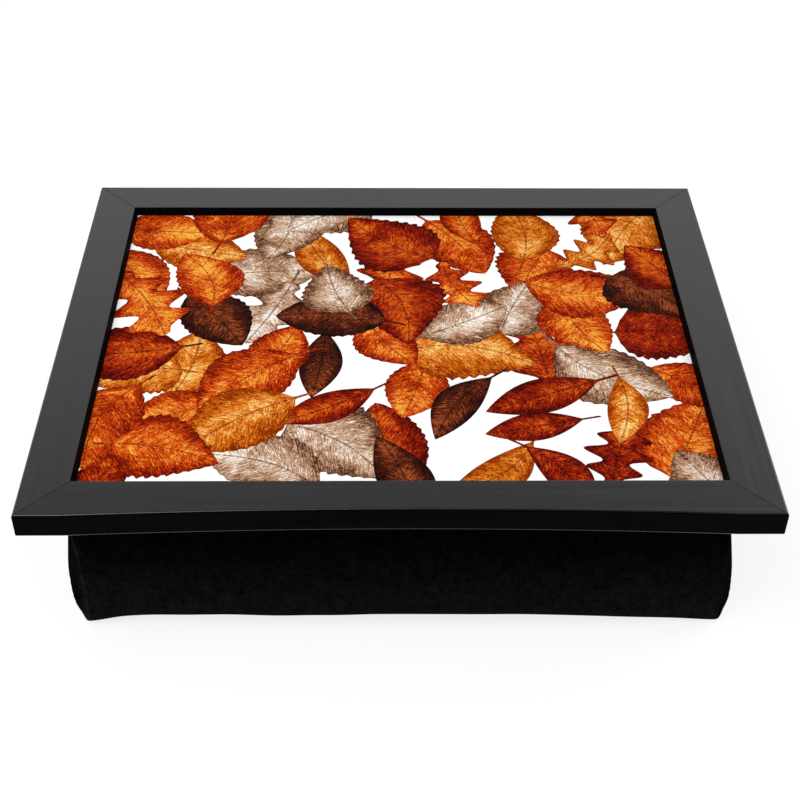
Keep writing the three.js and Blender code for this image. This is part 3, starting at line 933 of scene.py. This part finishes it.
def swell(bag, held):
    """Inflates the bag with cloth simulation, and keeps the result as its shape."""
    group = bag.vertex_groups.new(name="held")
    group.add(sorted(held), 1.0, "REPLACE")
    cloth = bag.modifiers.new("inflate", "CLOTH")
    for name, value in CLOTH_SETTINGS.items():
        setattr(cloth.settings, name, value)
    cloth.settings.vertex_group_mass = group.name
    cloth.settings.effector_weights.gravity = 0
    cloth.point_cache.frame_start = 1
    cloth.point_cache.frame_end = SIM_FRAMES
    for number in range(1, SIM_FRAMES + 1):
        bpy.context.scene.frame_set(number)
    solved = bag.evaluated_get(bpy.context.evaluated_depsgraph_get()).data
    places = [vert.co.copy() for vert in solved.vertices]
    bag.modifiers.remove(cloth)
    bag.vertex_groups.remove(group)
    bpy.context.scene.frame_set(1)
    for vert, place in zip(bag.data.vertices, places):
        cap = TOP_SWELL_CAP if vert.co.z > BAG_TOP - SEAT_GAP else SWELL_CAP
        move = place - vert.co
        if move.length > cap:
            move *= cap / move.length
        vert.co += move


def settle_seams(form, seams):
    """Raises the sewn edges as a narrow ridge, puckers the cloth beside them and marks a painted highlight
    along them.
    """
    seam_highlight = form.verts.layers.float.new("seam_highlight")
    form.verts.ensure_lookup_table()
    near = {k: 0 for k in seams}
    ring = set(seams)
    for step in range(1, len(SEAM_HIGHLIGHT_SHARES)):
        ring = {edge.other_vert(form.verts[k]).index for k in ring for edge in form.verts[k].link_edges}
        for k in ring:
            near.setdefault(k, step)
    moves = []
    for vert in form.verts:
        lump = BEAD_LUMP * noise.noise(vert.co * LUMP_SCALE)
        step = near.get(vert.index)
        if step == 0:
            lump = SEAM_RIDGE * ease(vert.co.z, *RIDGE_FADE)
        elif step is not None:
            lump = (PUCKER_HEIGHT * noise.noise(vert.co / PUCKER_LENGTH) - SEAM_VALLEY) / step
        if vert.co.z < SEAT_GAP or vert.co.z > BAG_TOP - SEAT_GAP:
            lump = min(lump, 0.0)
        moves.append(vert.normal * lump)
    for vert, move in zip(form.verts, moves):
        vert.co += move
        vert.co.z = max(vert.co.z, FLOOR_LEVEL)
    # How strongly the painted seam highlight shows, fading from the left end to the right
    for k, step in near.items():
        share = mix(1.0, RIGHT_HIGHLIGHT_SHARE, ease(form.verts[k].co.x, *SEAM_HIGHLIGHT_FADE))
        form.verts[k][seam_highlight] = share * SEAM_HIGHLIGHT_SHARES[step]


def round_tips(form, seams):
    """Fills out the bag's four lower corners and rounds them."""
    for sides in [Vector((x, y, -1)) for x in (1, -1) for y in (1, -1)]:
        tip = max((form.verts[k].co for k in seams), key=sides.dot).copy()
        for vert in form.verts:
            vert.co += sides * TIP_PUSH * ease(TIP_REACH - (vert.co - tip).length, 0.0, TIP_REACH)
        for reach in TIP_ROUNDINGS:
            near = [vert for vert in form.verts if (vert.co - tip).length < reach]
            for _ in range(TIP_ROUNDS):
                bmesh.ops.smooth_vert(form, verts=near, factor=0.5,
                                      use_axis_x=True, use_axis_y=True, use_axis_z=True)


def brushed_black():
    """Deep black brushed microfibre: a mottled nap with fine fibres, with painted light that makes it
    lighter towards its foot.
    """
    look = Look("brushed_black")
    nap = look.noise(scale=420.0, detail=3.0, roughness=0.6, distortion=0.3)
    strokes = look.noise(scale=(160.0, 160.0, 110.0), detail=3.0)
    fibres = look.noise(scale=900.0, detail=3.0, roughness=0.7)
    mottle = look.total((nap, 0.5), (fibres, 0.2), (strokes, 0.35))
    tone = look.span(mottle, *MOTTLE_RANGE)
    unlit_nap = look.blend(tone, NAP_DARK, NAP_LIGHT)
    foot_lit = look.blend(tone, FOOT_LIT_DARK, FOOT_LIT_LIGHT)
    sideways, _, upward = look.split(look.place())
    off_middle = look.math("ABSOLUTE", sideways)
    off_ends = look.span(off_middle, BAG_HALF_WIDTH, BAG_HALF_WIDTH + END_LIGHT_FADE, 1.0, END_LIGHT_SHARE)
    # Painted light: the bag lighter towards its foot, and less so on the end panels
    dust = look.times(look.span(upward, *PAINTED_LIGHT_HEIGHTS, 1.0, 0.0), off_ends)
    cloth = look.blend(dust, unlit_nap, foot_lit)
    # Painted highlight along the seams, strongest at the left end
    seam_highlight = look.times(look.attribute("seam_highlight"), look.span(strokes, 0.3, 0.6))
    return look.set(
        Base_Color=look.blend(seam_highlight, cloth, SEAM_HIGHLIGHT_NAP),
        Roughness=look.span(mottle, *MOTTLE_RANGE, 0.86, 1.0),
        Specular_IOR_Level=0.0,
        Sheen_Weight=0.004,
        Sheen_Roughness=0.35,
        Normal=look.bump(mottle, strength=0.6, distance=0.4 * MM),
    )


def make_bag():
    grid = BagGrid()
    shape_ears(grid)
    mesh = mesh_from("bean_bag", grid.points, grid.faces)
    form = bmesh.new()
    form.from_mesh(mesh)
    bmesh.ops.recalc_face_normals(form, faces=form.faces)
    form.to_mesh(mesh)
    bag = add_piece("bean_bag", mesh, "cushion", [brushed_black()])
    held = {k for k, point in enumerate(grid.points) if bag_is_held(point)}
    swell(bag, held | grid.seams)
    form.clear()
    form.from_mesh(mesh)
    form.normal_update()
    settle_seams(form, grid.seams)
    round_tips(form, grid.seams)
    form.to_mesh(mesh)
    form.free()
    mesh.shade_smooth()
    bag.modifiers.new("finer", "SUBSURF").render_levels = 1
    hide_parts("bag_wrap_panel", "bag_left_end", "bag_right_end", "bag_top_panel", "bead_filling")


# Hook and loop tapes

TAPE_CELL = 0.9 * MM
TAPE_CORNER = 2 * MM
SELVEDGE_WIDTH = 1.4 * MM
RIBBON_THICKNESS = 0.6 * MM
PILE_RISE = (0.6 * SELVEDGE_WIDTH, 1.4 * SELVEDGE_WIDTH)
PILE_LOW_SHARE = 0.72
PILE_FUZZ = 2.0
FLUFF_SCALE = 900
HOOK_RIBBON_CELL = 4 * MM
HOOK_PITCH = 2.6 * MM
HOOK_ROW = 2.3 * MM
HOOK_STAGGER = 0.25
HOOK_SIDES = 3
# The hook's bend, as points (along, out of the ribbon, radius)
HOOK_PATH = [(0.0, 0.0, 0.16 * MM), (0.0, 0.55 * MM, 0.14 * MM), (0.18 * MM, 0.92 * MM, 0.12 * MM),
             (0.48 * MM, 1.0 * MM, 0.1 * MM), (0.66 * MM, 0.78 * MM, 0.06 * MM)]
STITCH_LENGTH = 2.6 * MM
STITCH_PITCH = 3.6 * MM
STITCH_RADIUS = 0.28 * MM
STITCH_INSET = 1.6 * MM
# A stitch's ends are sunk, and its middle rises over them, by these shares of its radius
STITCH_SINK = 1.2
STITCH_RISE = 2.2
STITCH_SIDES = 6
STITCH_STEPS = 4
TAPE_DARK = (0.0015, 0.0015, 0.0016, 1)
TAPE_LIGHT = (0.012, 0.0118, 0.0122, 1)


def round_corner(x, y, half_x, half_y):
    """A point of a rectangle moved so that the rectangle's corners are round."""
    share_x = (abs(x) - half_x) / TAPE_CORNER + 1
    share_y = (abs(y) - half_y) / TAPE_CORNER + 1
    if share_x <= 0 or share_y <= 0:
        return x, y
    new_x = half_x + TAPE_CORNER * (share_x * math.sqrt(1 - share_y ** 2 / 2) - 1)
    new_y = half_y + TAPE_CORNER * (share_y * math.sqrt(1 - share_x ** 2 / 2) - 1)
    return math.copysign(new_x, x), math.copysign(new_y, y)


def tape_frame(node):
    """A tape's length, half width and thickness, and the matrix from its own axes, with x along it."""
    low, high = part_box(node)
    size = high - low
    turn = 0.0 if size.x > size.y else math.pi / 2
    foot = Vector(((low.x + high.x) / 2, (low.y + high.y) / 2, low.z))
    place = Matrix.Translation(foot) @ Matrix.Rotation(turn, 4, "Z")
    return max(size.x, size.y), min(size.x, size.y) / 2, size.z, place


def ribbon(length, half_width, cell, height):
    """A closed ribbon on a flat base at z 0, with its top at a height for each place."""
    columns = max(2, round(length / cell))
    rows = max(2, round(2 * half_width / cell))
    points = []
    for i in range(columns + 1):
        for j in range(rows + 1):
            x = mix(-length / 2, length / 2, i / columns)
            y = mix(-half_width, half_width, j / rows)
            x, y = round_corner(x, y, length / 2, half_width)
            points.append(Vector((x, y, height(x, y))))
    lines = [list(range(first, first + rows + 1)) for first in range(0, len(points), rows + 1)]
    faces = []
    for line, after in zip(lines, lines[1:]):
        for j in range(rows):
            faces.append((line[j], after[j], after[j + 1], line[j + 1]))
    edge = [line[0] for line in lines] + lines[-1][1:]
    edge += [line[-1] for line in lines[-2::-1]] + lines[0][-2:0:-1]
    start = len(points)
    points += [Vector((points[k].x, points[k].y, 0.0)) for k in edge]
    count = len(edge)
    for k in range(count):
        after = (k + 1) % count
        faces.append((edge[after], edge[k], start + k, start + after))
    faces.append(tuple(range(start + count - 1, start - 1, -1)))
    return points, faces


def tube(path, sides, across):
    """A closed tube through points (along, height, radius), upright in the direction across."""
    points = []
    side = across.cross(UP)
    for k, (along, height, radius) in enumerate(path):
        before = path[max(k - 1, 0)]
        after = path[min(k + 1, len(path) - 1)]
        heading = (across * (after[0] - before[0]) + UP * (after[1] - before[1])).normalized()
        normal = side.cross(heading)
        for step in range(sides):
            angle = 2 * math.pi * step / sides
            ring = side * math.cos(angle) - normal * math.sin(angle)
            points.append(across * along + UP * height + ring * radius)
    return points, loft(len(path), sides)


def join(parts):
    """Several lists of points and faces as one."""
    points = []
    faces = []
    for some_points, some_faces in parts:
        start = len(points)
        points += some_points
        faces += [tuple(start + k for k in face) for face in some_faces]
    return points, faces


def moved(part, matrix):
    points, faces = part
    return [matrix @ point for point in points], faces


def add_tape(name, part, body, material, sharp_angle):
    mesh = mesh_from(name, *part)
    smooth(mesh, sharp_angle)
    return add_piece(name, mesh, body, [material])


def make_loop_tape(side, material):
    node = f"{side}_loop_tape"
    length, half_width, thickness, place = tape_frame(node)

    def height(x, y):
        from_edge = min(length / 2 - abs(x), half_width - abs(y))
        fluff = 0.5 + 0.5 * noise.noise(Vector((x, y, 0.0)) * FLUFF_SCALE)
        pile = thickness * mix(PILE_LOW_SHARE, 1.0, fluff)
        return mix(RIBBON_THICKNESS, pile, ease(from_edge, *PILE_RISE))

    part = moved(ribbon(length, half_width, TAPE_CELL, height), place)
    tape = add_tape(f"{side}_loop_pile", part, "cushion", material, sharp_angle=70)
    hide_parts(node)


def hook_places(length, half_width):
    """Places of the hooks in staggered rows, and the way that each bends."""
    rows = int(2 * (half_width - SELVEDGE_WIDTH) / HOOK_ROW)
    count = int((length - 4 * SELVEDGE_WIDTH) / HOOK_PITCH)
    for row in range(rows + 1):
        y = (row - rows / 2) * HOOK_ROW
        way = 1 if row % 2 else -1
        for k in range(count):
            yield (k + 0.5 - count / 2 + way * HOOK_STAGGER) * HOOK_PITCH, y, way


def make_hook_tape(side, material):
    node = f"{side}_hook_tape"
    length, half_width, thickness, place = tape_frame(node)
    parts = [ribbon(length, half_width, HOOK_RIBBON_CELL, lambda x, y: RIBBON_THICKNESS)]
    for x, y, way in hook_places(length, half_width):
        prong = tube(HOOK_PATH, HOOK_SIDES, Vector((way, 0, 0)))
        parts.append(moved(prong, Matrix.Translation((x, y, RIBBON_THICKNESS))))
    hung = place @ Matrix.Translation(UP * thickness) @ Matrix.Rotation(math.pi, 4, "X")
    tape = add_tape(f"{side}_hook_field", moved(join(parts), hung), "tray", material, sharp_angle=40)
    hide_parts(node)


def stitch_runs(length, half_width):
    """Middles and headings of the stitches around a tape."""
    half_long = length / 2 - STITCH_INSET
    half_short = half_width - STITCH_INSET
    for half_run, offset, heading in ((half_long, half_short, 0.0), (half_short, half_long, math.pi / 2)):
        run = 2 * half_run
        count = int(run / STITCH_PITCH)
        for k in range(count):
            along = (k + 0.5 - count / 2) * run / count
            for sign in (1, -1):
                middle = Vector((along, sign * offset, 0))
                if heading > 0:
                    middle = Vector((sign * offset, along, 0))
                yield middle, heading


def make_stitching(side, material):
    """Thread that sews a loop tape to the bag, dipping into the cloth at each end of a stitch."""
    length, half_width, _, place = tape_frame(f"{side}_loop_tape")
    path = []
    for k in range(STITCH_STEPS + 1):
        share = k / STITCH_STEPS
        dip = STITCH_RADIUS * (STITCH_RISE * math.sin(math.pi * share) - STITCH_SINK)
        path.append(((share - 0.5) * STITCH_LENGTH, dip, STITCH_RADIUS))
    stitch = tube(path, STITCH_SIDES, Vector((1, 0, 0)))
    lifted = place @ Matrix.Translation(UP * RIBBON_THICKNESS)
    parts = []
    for middle, heading in stitch_runs(length, half_width):
        turned = Matrix.Translation(middle) @ Matrix.Rotation(heading, 4, "Z")
        parts.append(moved(stitch, lifted @ turned))
    add_tape(f"{side}_loop_stitching", join(parts), "cushion", material, sharp_angle=60)


def tape_black(name, fuzz):
    """Black nylon tape: woven at the edges and, with fuzz, a brushed pile of fine loops."""
    look = Look(name)
    hairs = look.noise(scale=2600.0, detail=3.0, roughness=0.7, distortion=fuzz)
    patches = look.noise(scale=180.0)
    shade = look.total((hairs, 0.7), (patches, 0.3))
    return look.set(
        Base_Color=look.blend(look.span(shade, 0.3, 0.75), TAPE_DARK, TAPE_LIGHT),
        Roughness=look.span(hairs, *NOISE_RANGE, 0.6, 0.85),
        Specular_IOR_Level=0.25,
        Normal=look.bump(hairs, strength=0.5, distance=0.15 * MM),
    )


def make_tapes():
    pile = tape_black("loop_pile_black", PILE_FUZZ)
    nylon = tape_black("hook_nylon_black", 0.0)
    for side in SIDES:
        make_loop_tape(side, pile)
        make_stitching(side, nylon)
        make_hook_tape(side, nylon)


# Board and steel fixings, whose CAD shapes stay

BOARD_DARK = (0.07, 0.034, 0.016, 1)
BOARD_LIGHT = (0.19, 0.105, 0.055, 1)
BOARD_FLECK = (0.32, 0.2, 0.11, 1)
IMPRINT_PITCH = 0.7 * MM
IMPRINT_WIRE = (0.1 * MM, 0.6 * MM)
STEEL_TARNISHED = (0.36, 0.35, 0.34, 1)
STEEL_BRIGHT = (0.62, 0.62, 0.63, 1)


def hardboard():
    """Pressed wood fibre: mottled brown with fine flecks, and the imprint of a mesh."""
    look = Look("hardboard")
    fibres = look.noise(scale=260.0, detail=5.0, roughness=0.7, distortion=1.5)
    patches = look.noise(scale=14.0)
    flecks = look.noise(scale=1400.0)
    shade = look.total((fibres, 0.7), (patches, 0.3))
    colour = look.blend(look.span(shade, 0.3, 0.7), BOARD_DARK, BOARD_LIGHT)
    x, y, _ = look.split(look.place())
    wires = [look.span(look.math("PINGPONG", axis, IMPRINT_PITCH), *IMPRINT_WIRE) for axis in (x, y)]
    imprint = look.times(*wires)
    return look.set(
        Base_Color=look.blend(look.span(flecks, 0.66, 0.8), colour, BOARD_FLECK),
        Roughness=look.span(fibres, *NOISE_RANGE, 0.7, 0.92),
        Normal=look.bump(look.math("ADD", imprint, fibres), strength=0.5, distance=0.2 * MM),
    )


def rolled_steel():
    """Bright rolled steel with faint scratches and a little tarnish."""
    look = Look("rolled_steel")
    scratches = look.noise(scale=(300.0, 300.0, 4000.0), detail=3.0)
    tarnish = look.noise(scale=240.0, detail=3.0)
    return look.set(
        Base_Color=look.blend(tarnish, STEEL_TARNISHED, STEEL_BRIGHT),
        Metallic=1.0,
        Roughness=look.span(scratches, *NOISE_RANGE, 0.26, 0.5),
        Normal=look.bump(scratches, strength=0.15, distance=0.02 * MM),
    )


def finish_nodes():
    board = hardboard()
    steel = rolled_steel()
    for name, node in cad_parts.items():
        if name == "tray_board":
            node.material_slots[0].material = board
        elif "_v_nail_" in name or "_point_" in name:
            node.material_slots[0].material = steel


bpy.context.scene.view_settings.view_transform = "Standard"
make_camera()
make_world()
make_floor()
make_lamps()
make_rails()
make_print()
make_bag()
make_tapes()
finish_nodes()
